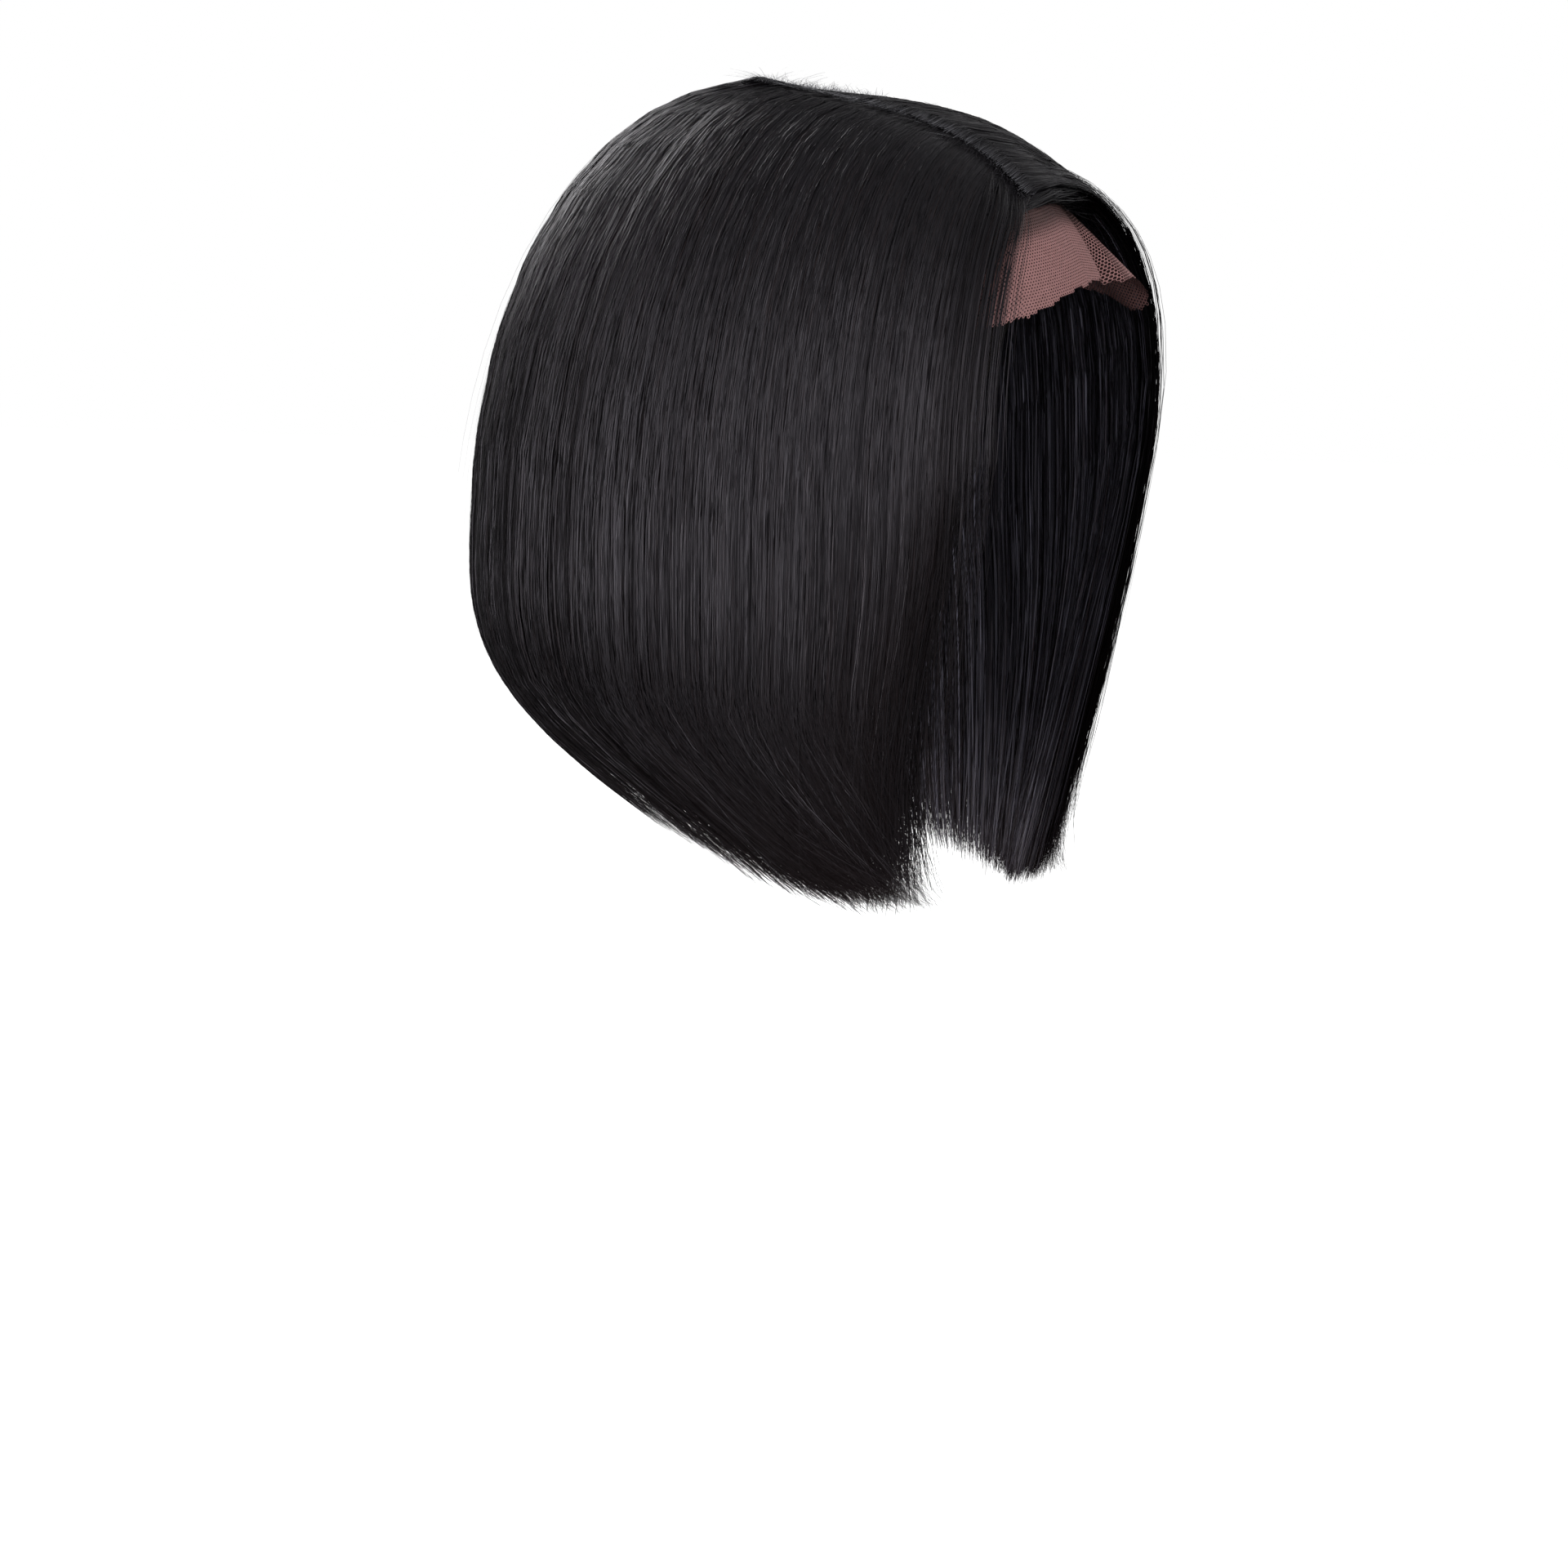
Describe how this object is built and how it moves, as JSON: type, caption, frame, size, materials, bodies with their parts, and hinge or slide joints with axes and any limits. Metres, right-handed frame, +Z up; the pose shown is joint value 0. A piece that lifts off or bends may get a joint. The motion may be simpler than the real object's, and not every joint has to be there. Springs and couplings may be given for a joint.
{
  "type": "lace front wig",
  "caption": "Straight black bob wig with an off-centre parting, hair in fused locks over a hollow net cap, and a free lace edge at the forehead.",
  "frame": {"origin": "inside the cap at the crown, where the top of the head touches it", "axes": "+Z up, -Y to the front where the face is, +X to the wearer's left"},
  "size_m": [0.219, 0.2475, 0.3022],
  "materials": {
    "cap_net": "matt stretch net",
    "lace": "matt brown net with fine round holes",
    "hair": "sleek straight strands, soft sheen"
  },
  "bodies": {
    "root": {"cap": "cap_net", "lace_front": "lace", "hair_right": "hair", "hair_back": "hair", "hair_left": "hair"}
  },
  "joints": []
}
